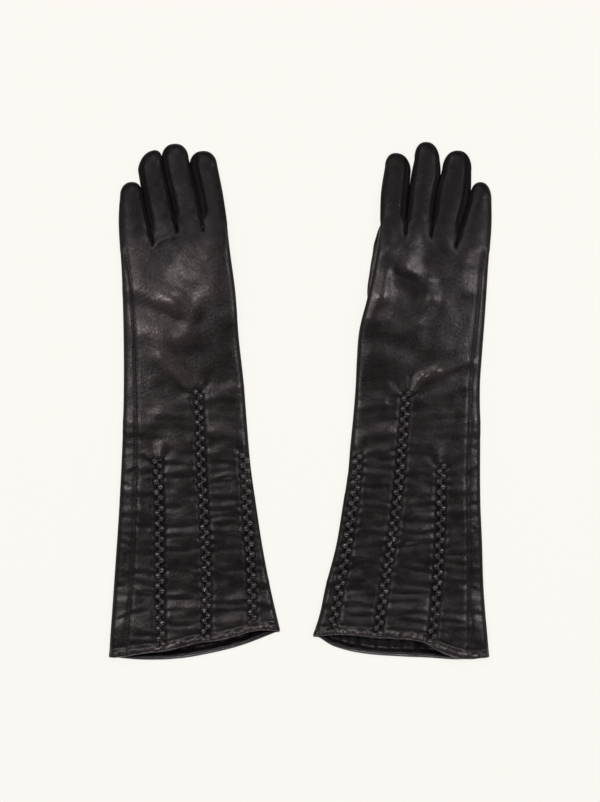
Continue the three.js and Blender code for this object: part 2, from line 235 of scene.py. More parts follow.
def ripple(a, b, length, seed):
    """A smooth irregular wave over (a, b), about -1 to 1, with waves of about this length."""
    rng = np.random.default_rng(seed)
    total = np.zeros(np.broadcast(a, b).shape)
    waves = 9
    for _ in range(waves):
        angle, phase = rng.uniform(0, 2 * math.pi, 2)
        k = 2 * math.pi / (length * rng.uniform(0.65, 1.6))
        total += np.sin(k * (a * math.cos(angle) + b * math.sin(angle)) + phase)
    return total / math.sqrt(waves / 2) / 1.6


def segment_distance(a, b, start, end):
    start, along = np.array(start, float), np.array(end, float) - np.array(start, float)
    t = ((a - start[0]) * along[0] + (b - start[1]) * along[1]) / (along @ along)
    t = np.clip(t, 0, 1)
    return np.hypot(a - start[0] - t * along[0], b - start[1] - t * along[1])


# ---- meshes ----
def grid_faces(rows, columns, closed=True):
    """Quads of a grid, row after row. A closed grid joins its last column to its first."""
    r, c = np.meshgrid(np.arange(rows - 1), np.arange(columns if closed else columns - 1), indexing="ij")
    first = r * columns + c
    second = r * columns + (c + 1) % columns
    return np.stack([first, second, second + columns, first + columns], -1).reshape(-1, 4)


def smooth_normals(parts):
    """Vertex normals for (points, quads) parts that share some places: equal places get equal normals."""
    points = np.concatenate([part[0] for part in parts])
    starts = np.cumsum([0] + [len(part[0]) for part in parts])
    quads = np.concatenate([part[1] + start for part, start in zip(parts, starts)])
    a, b, c, d = (points[quads[:, i]] for i in range(4))
    face = np.cross(c - a, d - b)
    place = np.unique(np.round(points, 2), axis=0, return_inverse=True)[1].reshape(-1)
    total = np.zeros((place.max() + 1, 3))
    for i in range(4):
        np.add.at(total, place[quads[:, i]], face)
    normals = total[place]
    normals /= np.maximum(np.linalg.norm(normals, axis=1, keepdims=True), 1e-12)
    return [normals[starts[i]:starts[i + 1]] for i in range(len(parts))]


def shades_of(move, points, dull_and_shaded=0.0):
    """Masks, each 0 to 1: where leather stands proud, lighter as wear and painted highlight; painted shade,
    darker and duller, in hollows and where dull; and towards the fingertips, duller and darker, partly
    painted shade.
    """
    return {"proud": smoothstep(move, 0.1, 1.7), "painted_shade": np.maximum(smoothstep(-move, 0.25, 1.4), dull_and_shaded),
            "matt_and_shaded": smoothstep(points[:, 1], 90, 165)}


def make_object(name, points, faces, material, normals=None, shades=None):
    """A smooth mesh object from points in millimetres, with optional normals and point attributes."""
    mesh = bpy.data.meshes.new(name)
    mesh.from_pydata((np.asarray(points) * MM).tolist(), [], [list(map(int, face)) for face in faces])
    mesh.polygons.foreach_set("use_smooth", [True] * len(mesh.polygons))
    for key, values in (shades or {}).items():
        attribute = mesh.attributes.new(key, "FLOAT", "POINT")
        attribute.data.foreach_set("value", np.asarray(values, np.float32))
    mesh.materials.append(material)
    mesh.update()
    if normals is not None:
        mesh.normals_split_custom_set_from_vertices(normals.tolist())
    obj = bpy.data.objects.new(name, mesh)
    bpy.context.collection.objects.link(obj)
    return obj


def used_part(points, faces, *others):
    """Only the points that the faces use, with the faces and the other per-point arrays to match."""
    used = np.unique(faces)
    renumber = np.zeros(len(points), int)
    renumber[used] = np.arange(len(used))
    return (points[used], renumber[faces], *(other[used] for other in others))


def turned(faces, side):
    """The left glove mirrors the right one, so its faces turn the other way round."""
    return faces if side > 0 else faces[:, ::-1]


# ---- a glove's layout ----
class Layout:
    """Where one glove's outline and layers lie, in u, y and z."""

    def __init__(self, spec):
        self.side = spec["side"]
        self.little = through(spec["little_edge"])
        self.index = through(spec["index_edge"])
        self.palm_hem = through(spec["palm_hem"])
        self.back_hem = through(spec["back_hem"])
        self.seam = through(spec["seam"])
        self.rows = {name: (through(knots), max(k[0] for k in knots), min(k[0] for k in knots))
                     for name, knots in spec["rows"].items()}
        self.folds = spec["folds"]
        self.creases = spec["creases"]
        thumb = spec["thumb"]
        self.thumb_side = thumb["path"][1][0] + thumb["half_width"]

    def lift(self, u, y):
        across = 1 - smoothstep(u, self.thumb_side + 2, self.thumb_side + 20)
        return THUMB_LIFT * across * smoothstep(y, 46, 76) * (1 - smoothstep(y, 152, 196))

    def bottom(self, u, y):
        return 0.25 + self.lift(u, y)

    def top(self, u, y):
        """The back lies over the thumb in one wide easy slope."""
        reach = smoothstep(y, 10, 95) * (1 - smoothstep(y, 145, 205))
        drape = 0.85 * THUMB_LIFT * (1 - smoothstep(u, 55, 150)) * reach
        return 0.25 + self.height(y) + drape

    def height(self, y):
        opening = (MOUTH_HEIGHT - FLAT_HEIGHT) * (1 - smoothstep(y, -218, -150))
        return FLAT_HEIGHT - 0.8 * smoothstep(y, 120, 190) + opening

    def place(self, u, y, z):
        return np.stack([self.side * u, y, z], -1)

    def dullness_and_shade(self, u, y):
        """How dull the leather is, and how much painted shade darkens it, on the rounded side folds, beside
        the shirred rows and in deep creases.
        """
        inside = np.minimum(u - self.index(y), self.little(y) - u)
        beside_rows = np.zeros(np.shape(u))
        for path, top, low in self.rows.values():
            along = smoothstep(y, low - 5, low + 3) * (1 - smoothstep(y, top - 3, top + 3))
            away = np.abs(u - path(y))
            # Painted shade, and dullness, on the leather just beside each shirred row.
            beside_rows = np.maximum(beside_rows, 0.6 * along * bell(away - 4.2, 2.0))
        # Painted shade, and dullness, on the rounded side folds.
        dull_and_shaded = 0.7 * (1 - smoothstep(inside, 0.8, 4.4)) * (1 - smoothstep(y, 118, 140))
        dull_and_shaded = dull_and_shaded * smoothstep(y, -214, -206)
        dull_and_shaded = np.maximum(dull_and_shaded, beside_rows)
        # Painted shade, and dullness, along each deep crease.
        for shown, off in self.crease_distances(u, y):
            dull_and_shaded = np.maximum(dull_and_shaded, 0.95 * shown * bell(off + 0.6, 1.3))
        return dull_and_shaded

    # Relief on the back of the glove, along the surface's normal.
    def relief(self, u, y):
        total = 0.3 * ripple(u, y, 42, 3) + 0.07 * ripple(u, y, 15, 4) + 0.02 * ripple(u, y, 4.5, 5)
        total += self.broad_folds(u, y)
        sleeve = 1 - smoothstep(y, 0, 25)
        total += self.puckers(u, y)
        total += 0.12 * sleeve * ripple(0.4 * u, y, 11, 6)
        total += 0.25 * smoothstep(u - self.seam(y), 1, 6) * sleeve * ripple(0.2 * u, y, 34, 91)
        total -= self.groove(u, y)
        return total + self.hem_relief(u, y)

    def broad_folds(self, u, y):
        total = np.zeros(np.broadcast(u, y).shape)
        for u0, y0, u1, y1, width, height in self.folds:
            wander = 1.6 * ripple(u, y, 30, int(u0 + 3 * y0 + 999))
            away = segment_distance(u + wander, y + 0.7 * wander, (u0, y0), (u1, y1))
            total = total + 0.7 * height * bell(away, width)
        return total

    def puckers(self, u, y):
        """Waves that the shirring throws out on both sides of each row, and a fan past its upper end."""
        total = np.zeros(np.broadcast(u, y).shape)
        for i, (path, top, low) in enumerate(self.rows.values()):
            away = u - path(y)
            gap = np.abs(away)
            drift = 1.2 * ripple(0.5 * u, y, 22, 40 + i)
            wave = 2 * math.pi * (y - top + drift) / PUFF_PITCH + np.where(away > 0, math.pi, 0)
            along = smoothstep(y, low - 6, low + 4) * (1 - smoothstep(y, top - 5, top + 3))
            near = np.exp(-((gap - 5.0).clip(0) / 4.5))
            uneven = 0.6 + 0.5 * ripple(0.6 * u, y, 26, 70 + i)
            total += 0.26 * along * near * uneven * np.cos(wave)
            total += 0.4 * along * bell(gap - 12, 8) * ripple(0.4 * u, 1.4 * y, 24, 50 + i)
            total -= 1.4 * along * np.exp(-((gap / 4.9) ** 3))
            reach = np.hypot(away, y - top + 1)
            angle = np.arctan2(away, y - top + 4)
            fan = bell(reach - 9, 12) * smoothstep(y, top - 6, top + 3)
            total += 0.28 * fan * np.cos(6.5 * angle + 0.8 * i)
        return total + self.tucks(u, y) + self.deep_creases(u, y)

    def crease_distances(self, u, y):
        """For each of the deepest creases: how far it reaches here, and how far above it a point is."""
        for u0, y0, u1, y1 in self.creases:
            share = (u - u0) / (u1 - u0)
            shown = smoothstep(share, -0.15, 0.3) * (1 - smoothstep(share, 0.7, 1.15))
            yield shown, y - y0 - share * (y1 - y0) - 0.6 * ripple(u, 0 * y, 18, int(999 + u0 - y0))

    def deep_creases(self, u, y):
        """Each of the deepest creases: a soft ridge over a shallow valley."""
        total = np.zeros(np.broadcast(u, y).shape)
        for shown, off in self.crease_distances(u, y):
            ridge = 0.4 * bell(off - 2.0, 2.8)
            valley = 0.3 * bell(off + 1.4, 2.2)
            total = total + shown * (ridge - valley)
        return total

    def tucks(self, u, y):
        """Sharp creases that cross from one shirred row to the next at uneven distances."""
        total = np.zeros(np.broadcast(u, y).shape)
        lines = [self.index, *(path for path, _, _ in self.rows.values()), self.seam, self.little]
        tops = [top for _, top, _ in self.rows.values()]
        reach = [tops[0], tops[0] + 10, tops[2] + 10, tops[2], tops[2] + 25]
        depth = [0.6, 1.0, 1.0, 0.8, 0.7]
        for strip, (first, second) in enumerate(zip(lines, lines[1:])):
            rng = np.random.default_rng(100 + strip + 10 * self.side)
            near, far = first(y), second(y)
            share = (u - near) / (far - near)
            inside = smoothstep(share, 0.0, 0.06) * (1 - smoothstep(share, 0.94, 1.0))
            at = -203.0
            while at < reach[strip] - 2:
                size = 0.38 * depth[strip] * rng.uniform(0.15, 1.0) ** 1.4
                tilt = rng.uniform(-7, 7)
                bow = rng.uniform(-2, 2)
                middle = rng.uniform(0, 1)
                length = rng.uniform(0.25, 0.8)
                crest = at + tilt * (share - 0.5) + 4 * bow * share * (1 - share)
                shown = inside * np.exp(-(((share - middle) / length) ** 4)) * size
                off = y - crest
                total += shown * (bell(off, 3.0) - 0.8 * bell(off + 3.8, 2.1))
                at += rng.uniform(6, 15)
        return total

    def hem_relief(self, u, y):
        """The turned hem: a sewn line above the edge, and a plump gathered band between them."""
        above = y - self.back_hem(u)
        gathers = 0.68 + 0.32 * ripple(u, 0 * y, 8, 81)
        band = 1.6 * smoothstep(6.2 - above, 0, 4.4) * gathers
        return band - 0.2 * bell(above - 6.2, 1.4)

    def groove(self, u, y):
        """The shallow valley that the outseam lies in."""
        away = u - self.seam(y)
        shown = 1 - smoothstep(y, 132, 142)
        return shown * 0.75 * bell(away, 1.4)


# ---- the rings of the sleeve and hand ----
def side_arc(count):
    """Angles down a side fold, from its back edge to its palm edge."""
    return np.linspace(80, -80, count + 1)[1:-1]


def superellipse(seam, power, count):
    """Points round one side of a finger, between its back seam and its palm seam: (across, up)."""
    start = math.asin(min(1, seam ** (power / 2)))
    angle = np.linspace(start, -start, count + 1)
    across = np.cos(angle) ** (2 / power)
    up = np.sign(np.sin(angle)) * np.abs(np.sin(angle)) ** (2 / power)
    return across, up


def finger_section(seams, power):
    """A finger's closed section as (across, up), from its index side seam over the back and round."""
    inner, outer = seams
    inner_across, inner_up = superellipse(inner, power, SIDE)
    outer_across, outer_up = superellipse(outer, power, SIDE)
    back = np.linspace(-inner_across[0], outer_across[0], BACK + 1)
    palm = np.linspace(outer_across[-1], -inner_across[-1], PALM + 1)

    def rise(across):
        return (1 - np.abs(across).clip(0, 1) ** power).clip(0) ** (1 / power)

    across = np.concatenate([back, outer_across[1:-1], palm, -inner_across[::-1][1:-1]])
    up = np.concatenate([rise(back), outer_up[1:-1], -rise(palm), inner_up[::-1][1:-1]])
    up[0], up[BACK] = inner_up[0], outer_up[0]
    return across, up


BACK_AT = slice(0, BACK + 1)
PALM_AT = slice(BACK + SIDE, BACK + SIDE + PALM + 1)
LITTLE_SIDE_SEAMS = (BACK, BACK + SIDE)
INDEX_SIDE_SEAMS = (0, BACK + SIDE + PALM)
SEAM_COLUMNS = {"index": LITTLE_SIDE_SEAMS, "middle": LITTLE_SIDE_SEAMS + INDEX_SIDE_SEAMS,
                "ring": LITTLE_SIDE_SEAMS + INDEX_SIDE_SEAMS, "little": INDEX_SIDE_SEAMS}
ROOT_SEAM = 0.42
ROOT_POWER = 5.0


def finger_rows(spec, finger, layout):
    """Rows of (u, y, z) round one finger, from its root to its tip, and how far along each row is."""
    shape = spec["fingers"][finger]
    inner = by_length(shape["inner"])
    outer = by_length(shape["outer"])
    tip = np.array(shape["tip"], float)
    length = np.linalg.norm(np.array(shape["inner"][-1]) - shape["inner"][0])
    steps = int(length / 1.3)
    rows = []
    along = []
    for i in range(steps + 1):
        t = i / steps
        grow = smoothstep(t, 0, 0.3)
        seams = [ROOT_SEAM + (seam - ROOT_SEAM) * grow for seam in shape["seams"]]
        power = ROOT_POWER + (2.15 - ROOT_POWER) * smoothstep(t, 0, 0.2)
        across, up = finger_section(seams, power)
        a, b = inner(t), outer(t)
        middle, half = (a + b) / 2, (b - a) / 2
        half = half * (1 + 0.5 * smoothstep(t, 0, 0.12) / np.linalg.norm(half))
        flat = middle + across[:, None] * half
        rows.append((flat, up, 1.0))
        along.append(t)
    cap = tip - middle
    cap_steps = 14
    for i in range(1, cap_steps + 1):
        angle = 0.5 * math.pi * i / cap_steps
        narrow = max(math.cos(angle), 0.02)
        flat = middle + across[:, None] * half * narrow ** 0.9 + cap * math.sin(angle)
        rows.append((flat, up, narrow ** 0.75))
        along.append(1 + i / cap_steps)
    result = []
    for flat, up, thin in rows:
        u, y = flat[:, 0], flat[:, 1]
        low, high = layout.bottom(u, y), layout.top(u, y)
        mid = (low + high) / 2 - (1 - thin) * 1.2
        result.append(np.stack([u, y, mid + 0.5 * (high - low) * thin * up], -1))
    return np.array(result), np.array(along)


def glove_rings(layout, roots):
    """Rings of (u, y, z) from the hem to the finger roots, the last one lying on the roots."""
    back_end = np.concatenate([roots[f][0][BACK_AT] for f in FINGERS])
    palm_end = np.concatenate([roots[f][0][PALM_AT] for f in reversed(FINGERS)])
    little_end = roots["little"][0][BACK + 1:BACK + SIDE]
    index_end = roots["index"][0][BACK + SIDE + PALM + 1:]
    end = np.concatenate([back_end, little_end, palm_end, index_end])
    backs, palms, sides = len(back_end), len(palm_end), SIDE - 1
    arc = np.radians(side_arc(SIDE))
    edge_in = FOLD_RADIUS * (1 - math.cos(math.radians(80)))
    # For each ring point: where it is across (-1 to 1), how far in from the edge, and how high.
    across = np.concatenate([np.linspace(-1, 1, backs), np.ones(sides),
                             np.linspace(1, -1, palms), -np.ones(sides)])
    inset = np.concatenate([np.full(backs, edge_in), FOLD_RADIUS * (1 - np.cos(arc)),
                            np.full(palms, edge_in), FOLD_RADIUS * (1 - np.cos(arc[::-1]))])
    up = np.concatenate([np.ones(backs), np.sin(arc) / math.sin(math.radians(80)), -np.ones(palms),
                         np.sin(arc[::-1]) / math.sin(math.radians(80))])
    hem_u = layout.index(-197) + (across + 1) / 2 * (layout.little(-219) - layout.index(-197))
    top_share = smoothstep(up, -0.8, 0.8)
    hem_y = layout.palm_hem(hem_u) * (1 - top_share) + layout.back_hem(hem_u) * top_share
    count = int((end[:, 1].max() - hem_y.min()) / ROW_STEP)
    rings = []
    for i in range(count + 1):
        t = i / count
        y = hem_y * (1 - t) + end[:, 1] * t
        left, right = layout.index(y), layout.little(y)
        half = (right - left) / 2
        near = smoothstep((end[:, 1] - y), ROOT_REACH, 0)
        end_left, end_right = layout.index(end[:, 1]), layout.little(end[:, 1])
        shift = end[:, 0] - (end_left + end_right) / 2 - across * ((end_right - end_left) / 2 - inset)
        u = (left + right) / 2 + across * (half - inset) + shift * near
        crown = 1 - 0.2 * np.abs(across) ** 8
        low = layout.bottom(u, y)
        tall = layout.top(u, y) - low
        z = low + tall * (0.5 + 0.5 * up * np.where(up > 0, crown, 1))
        end_low = layout.bottom(end[:, 0], end[:, 1])
        z_end = (end[:, 2] - end_low) / (layout.top(end[:, 0], end[:, 1]) - end_low)
        close = smoothstep((end[:, 1] - y), 6, 0)
        z = z * (1 - close) + (low + z_end * tall) * close
        rings.append(np.stack([u, y, z], -1))
    rings = np.array(rings)
    rings[-1] = end
    return rings


def facing_up(normals):
    return smoothstep(normals[..., 2], 0.05, 0.6)


def carve_back(points, normals, layout):
    """Moves points along their normals by the relief, as far as they face up. Returns the move too."""
    u, y = layout.side * points[:, 0], points[:, 1]
    share = facing_up(normals)
    under = smoothstep(-normals[..., 2], 0.3, 0.9)
    move = share * layout.relief(u, y) + under * 0.15 * (ripple(u, y, 16, 91) - 1)
    return points + normals * move[:, None], move


# ---- materials ----
class Nodes:
    """A node tree, with short ways to add the nodes used here."""

    def __init__(self, tree):
        self.nodes = tree.nodes
        self.links = tree.links

    def add(self, kind):
        return self.nodes.new("ShaderNode" + kind)

    def coords(self):
        return self.add("TexCoord").outputs["Object"]

    def noise(self, scale, detail, roughness, coords):
        node = self.add("TexNoise")
        set_inputs(node, {"Scale": scale, "Detail": detail, "Roughness": roughness})
        self.links.new(coords, node.inputs["Vector"])
        return node.outputs["Fac"]

    def attribute(self, name):
        node = self.add("Attribute")
        node.attribute_name = name
        return node.outputs["Fac"]

    def arithmetic(self, operation, first, second):
        node = self.add("Math")
        node.operation = operation
        self.links.new(first, node.inputs[0])
        self.links.new(second, node.inputs[1])
        return node.outputs[0]

    def ramp(self, value, low, high, start, end):
        node = self.add("MapRange")
        node.interpolation_type = "SMOOTHSTEP"
        self.links.new(value, node.inputs["Value"])
        for key, number in (("From Min", low), ("From Max", high), ("To Min", start), ("To Max", end)):
            node.inputs[key].default_value = number
        return node.outputs["Result"]

    def mix_colour(self, share, first, second):
        node = self.add("Mix")
        node.data_type = "RGBA"
        if hasattr(share, "links"):
            self.links.new(share, node.inputs["Factor"])
        else:
            node.inputs["Factor"].default_value = share
        for key, colour in (("A", first), ("B", second)):
            socket = [s for s in node.inputs if s.name == key and s.type == "RGBA"][0]
            if hasattr(colour, "links"):
                self.links.new(colour, socket)
            else:
                socket.default_value = (*colour, 1)
        return [s for s in node.outputs if s.type == "RGBA"][0]

    def bump(self, height, distance, strength=1.0, after=None):
        node = self.add("Bump")
        set_inputs(node, {"Distance": distance, "Strength": strength})
        self.links.new(height, node.inputs["Height"])
        if after is not None:
            self.links.new(after, node.inputs["Normal"])
        return node.outputs["Normal"]


def set_inputs(node, values):
    for key, value in values.items():
        node.inputs[key].default_value = value


def new_material(name):
    """A new material, its nodes and its shader."""
    material = bpy.data.materials.new(name)
    material.use_nodes = True
    tree = Nodes(material.node_tree)
    return material, tree, tree.nodes["Principled BSDF"]


def leather_material(name, dark, worn_and_highlit, roughness, grain=1.0, gloss=0.5):
    """Soft nappa: fine pebble grain and faint creases; lighter and warmer where proud, as wear and painted
    highlight; duller, and darkened in colour and reflection as painted shade, in hollows, on side folds,
    beside the rows and towards the fingertips.
    """
    material, tree, shader = new_material(name)
    coords = tree.coords()
    cloud = tree.noise(28, 4, 0.6, coords)
    patches = tree.noise(75, 4, 0.65, coords)
    mottle = tree.noise(620, 3, 0.6, coords)
    pebble = tree.add("TexVoronoi")
    pebble.feature = "DISTANCE_TO_EDGE"
    pebble.inputs["Scale"].default_value = 850
    tree.links.new(coords, pebble.inputs["Vector"])
    creases = tree.noise(420, 3, 0.55, coords)
    proud = tree.attribute("proud")
    painted_shade = tree.attribute("painted_shade")
    base = tree.mix_colour(tree.ramp(cloud, 0.35, 0.7, 0, 1), dark, [1.4 * c for c in dark])
    # Where the leather stands proud its colour is lighter and warmer: partly wear on the ridges, partly
    # painted highlight.
    rubbed_and_highlit = tree.arithmetic("MULTIPLY", proud, tree.ramp(mottle, 0.3, 0.7, 0.75, 1.0))
    base = tree.mix_colour(rubbed_and_highlit, base, worn_and_highlit)
    # Towards the fingertips the leather is duller and its colour darker; the darker colour is painted shade.
    matt_and_shaded = tree.arithmetic("MULTIPLY", tree.attribute("matt_and_shaded"), tree.ramp(cloud, 0.3, 0.7, 0.8, 1.0))
    base = tree.mix_colour(matt_and_shaded, base, [0.75 * c for c in dark])
    # Painted shade: hollows, creases, side folds and the leather beside the rows are darkened in colour.
    tree.links.new(tree.mix_colour(painted_shade, base, [0.3 * c for c in dark]), shader.inputs["Base Color"])
    grainy = tree.mix_colour(tree.ramp(mottle, 0.36, 0.64, 0, 1), (0.6, 0.58, 0.59), (1, 0.97, 0.98))
    # The reflection is weaker towards the fingertips, and in the painted shade it is cut as well.
    tint = tree.mix_colour(matt_and_shaded, grainy, (0.29, 0.27, 0.28))
    tint = tree.mix_colour(painted_shade, tint, (0.3, 0.3, 0.3))
    tree.links.new(tint, shader.inputs["Specular Tint"])
    sheen = tree.ramp(patches, 0.3, 0.7, roughness - 0.06, roughness + 0.06)
    sheen = tree.arithmetic("ADD", sheen, tree.ramp(creases, 0.3, 0.7, -0.02, 0.02))
    sheen = tree.arithmetic("ADD", sheen, tree.ramp(painted_shade, 0, 1, 0, 0.3))
    sheen = tree.arithmetic("ADD", sheen, tree.ramp(matt_and_shaded, 0, 1, 0, 0.07))
    sheen = tree.arithmetic("SUBTRACT", sheen, tree.ramp(proud, 0.3, 1, 0, 0.07))
    tree.links.new(sheen, shader.inputs["Roughness"])
    rough = tree.bump(tree.ramp(creases, 0.2, 0.8, 0, 1), 0.00006 * grain, 0.7)
    squash = tree.add("Mapping")
    squash.inputs["Scale"].default_value = (0.3, 1, 1)
    tree.links.new(coords, squash.inputs["Vector"])
    wrinkles = tree.arithmetic("MULTIPLY", tree.noise(420, 3, 0.6, squash.outputs["Vector"]), matt_and_shaded)
    rough = tree.bump(wrinkles, 0.00022 * grain, 0.8, rough)
    cells = tree.ramp(pebble.outputs["Distance"], 0.0, 0.25, 0, 1)
    fine = tree.bump(cells, 0.00002 * grain, 0.5, rough)
    tree.links.new(fine, shader.inputs["Normal"])
    set_inputs(shader, {
        "Specular IOR Level": gloss, "Sheen Weight": 0.015, "Sheen Roughness": 0.4,
        "Sheen Tint": (0.8, 0.68, 0.72, 1)})
    return material


def fabric_material(name, colour, scale):
    """Fine knitted silk: two crossed sets of ribs."""
    material, tree, shader = new_material(name)
    coords = tree.coords()
    ribs = []
    for axis in ("X", "Y"):
        wave = tree.add("TexWave")
        wave.bands_direction = axis
        set_inputs(wave, {"Scale": scale, "Distortion": 0.6})
        tree.links.new(coords, wave.inputs["Vector"])
        ribs.append(wave.outputs["Fac"])
    both = tree.add("Math")
    both.operation = "MULTIPLY"
    tree.links.new(ribs[0], both.inputs[0])
    tree.links.new(ribs[1], both.inputs[1])
    cloud = tree.noise(60, 3, 0.6, coords)
    tree.links.new(tree.mix_colour(cloud, colour, [1.8 * c for c in colour]), shader.inputs["Base Color"])
    tree.links.new(tree.bump(both.outputs[0], 0.0001, 0.6), shader.inputs["Normal"])
    set_inputs(shader, {"Roughness": 0.6, "Sheen Weight": 0.3})
    return material


def thread_material(name, colour):
    material, tree, shader = new_material(name)
    coords = tree.coords()
    twist = tree.noise(1800, 2, 0.5, coords)
    tree.links.new(tree.mix_colour(twist, colour, [2.2 * c for c in colour]), shader.inputs["Base Color"])
    tree.links.new(tree.bump(twist, 0.00006, 0.5), shader.inputs["Normal"])
    shader.inputs["Roughness"].default_value = 0.5
    return material


# The second colour of each leather is its lighter, warmer one on proud places: wear and painted highlight.
LEATHER = leather_material("leather", (0.006, 0.005, 0.005), (0.036, 0.028, 0.029), 0.345, 1.0, 0.52)
# A darker, duller copy of the leather for the side strips between the fingers: painted shade.
SIDE_LEATHER = leather_material("side_leather", (0.004, 0.0035, 0.0037), (0.012, 0.01, 0.01), 0.46, 1.0, 0.3)
# A lighter, glossier copy of the leather for the shirred puffs; its lighter colour is painted light.
PUFF_LEATHER = leather_material("puff_leather", (0.0085, 0.007, 0.0073), (0.036, 0.029, 0.031),
                                0.22, 0.25, 0.9)
# A darker copy of the leather for the facing inside the mouth of the cuff: painted shade.
FACING_LEATHER = leather_material("facing_leather", (0.004, 0.0035, 0.0037), (0.014, 0.012, 0.0125),
                                  0.36, 1.0, 0.5)
LINING = fabric_material("silk_lining", (0.006, 0.0055, 0.0062), 260)
THREAD = thread_material("sewing_thread", (0.006, 0.0055, 0.006))


# ---- stitches ----
def stitch_mesh(starts, ends, ups, radius):
    """A short rounded bar of thread for each stitch, bowed up in its middle."""
    around, along = 6, 5
    points, faces = [], []
    for k, (start, end, up) in enumerate(zip(starts, ends, ups)):
        line = end - start
        across = np.cross(line, up)
        across /= max(np.linalg.norm(across), 1e-9)
        for i in range(along):
            t = i / (along - 1)
            thick = radius * (0.45 + 0.55 * math.sin(math.pi * min(max(t, 0.08), 0.92)))
            centre = start + line * t + up * radius * 0.9 * math.sin(math.pi * t)
            for j in range(around):
                angle = 2 * math.pi * j / around
                points.append(centre + thick * (math.cos(angle) * across + math.sin(angle) * up))
        base = k * around * along
        faces += (grid_faces(along, around) + base).tolist()
        faces.append([base + j for j in range(around)][::-1])
        faces.append([base + (along - 1) * around + j for j in range(around)])
    return np.array(points), faces


def stitches_along(points, normals, radius, pitch=STITCH, gap=0.35):
    """Stitches laid end to end along a line of points, each taking its share of the pitch."""
    steps = np.linalg.norm(np.diff(points, axis=0), axis=1)
    run = np.concatenate([[0], np.cumsum(steps)])
    count = int(run[-1] / pitch)

    def at(distance, values):
        return np.stack([np.interp(distance, run, values[:, i]) for i in range(3)], -1)

    begin = np.arange(count) * pitch
    ups = at(begin, normals)
    ups /= np.maximum(np.linalg.norm(ups, axis=1, keepdims=True), 1e-9)
    return stitch_mesh(at(begin, points), at(begin + pitch * (1 - gap), points), ups, radius)


# ---- the camera, light and floor ----
def add_camera():
    """Straight above the pair. The frame's long side spans 682 mm at the height of the gloves' backs."""
    data = bpy.data.cameras.new("camera")
    camera = bpy.data.objects.new("camera", data)
    bpy.context.collection.objects.link(camera)
    distance = 1.5
    data.sensor_width = 36
    data.lens = data.sensor_width * distance / 0.682
    camera.location = (0, 0, distance + FLAT_HEIGHT * MM)
    bpy.context.scene.camera = camera


def add_area(name, place, size, power, colour=(1, 1, 1)):
    data = bpy.data.lights.new(name, "AREA")
    data.size = size
    data.energy = power
    data.color = colour
    light = bpy.data.objects.new(name, data)
    light.location = place
    direction = np.array(place) / np.linalg.norm(place)
    light.rotation_euler = (math.acos(direction[2]), 0, math.atan2(direction[0], -direction[1]))
    bpy.context.collection.objects.link(light)


def add_surroundings():
    add_world()
    bpy.context.scene.view_settings.view_transform = "Standard"
    add_area("key", (-0.7, 0.3, 1.6), 0.3, 6.6, (1, 0.88, 0.88))
    add_area("fill", (0.9, 0.3, 1.6), 0.3, 8.2, (1, 0.91, 0.92))
    add_area("top", (-0.1, 0.95, 1.45), 0.3, 5, (1, 0.91, 0.91))
    add_area("front", (0, -1.3, 0.9), 0.25, 4, (0.96, 0.92, 1))
    add_area("side_left", (-1.2, 0.3, 1.0), 0.5, 1.5)
    add_area("side_right", (1.2, 0.3, 1.0), 0.5, 1.5)
    bpy.ops.mesh.primitive_plane_add(size=60, location=(0, 0, 0))
    floor = bpy.context.object
    floor.name = "floor"
    material, _, shader = new_material("floor")
    set_inputs(shader, {
        "Base Color": (0.12, 0.117, 0.111, 1), "Roughness": 0.9, "Specular IOR Level": 0.0,
        "Emission Color": (1, 0.975, 0.93, 1), "Emission Strength": 0.88})
    floor.data.materials.append(material)


def add_world():
    """Dim overhead, pale along the horizon, so a low view still has a pale backdrop."""
    world = bpy.data.worlds.new("world")
    world.use_nodes = True
    tree = Nodes(world.node_tree)
    split = tree.add("SeparateXYZ")
    tree.links.new(tree.add("TexCoord").outputs["Generated"], split.inputs[0])
    strength = tree.ramp(split.outputs["Z"], 0.12, 0.3, 0.85, 0.05)
    background = tree.nodes["Background"]
    background.inputs["Color"].default_value = (1, 0.98, 0.95, 1)
    tree.links.new(strength, background.inputs["Strength"])
    bpy.context.scene.world = world


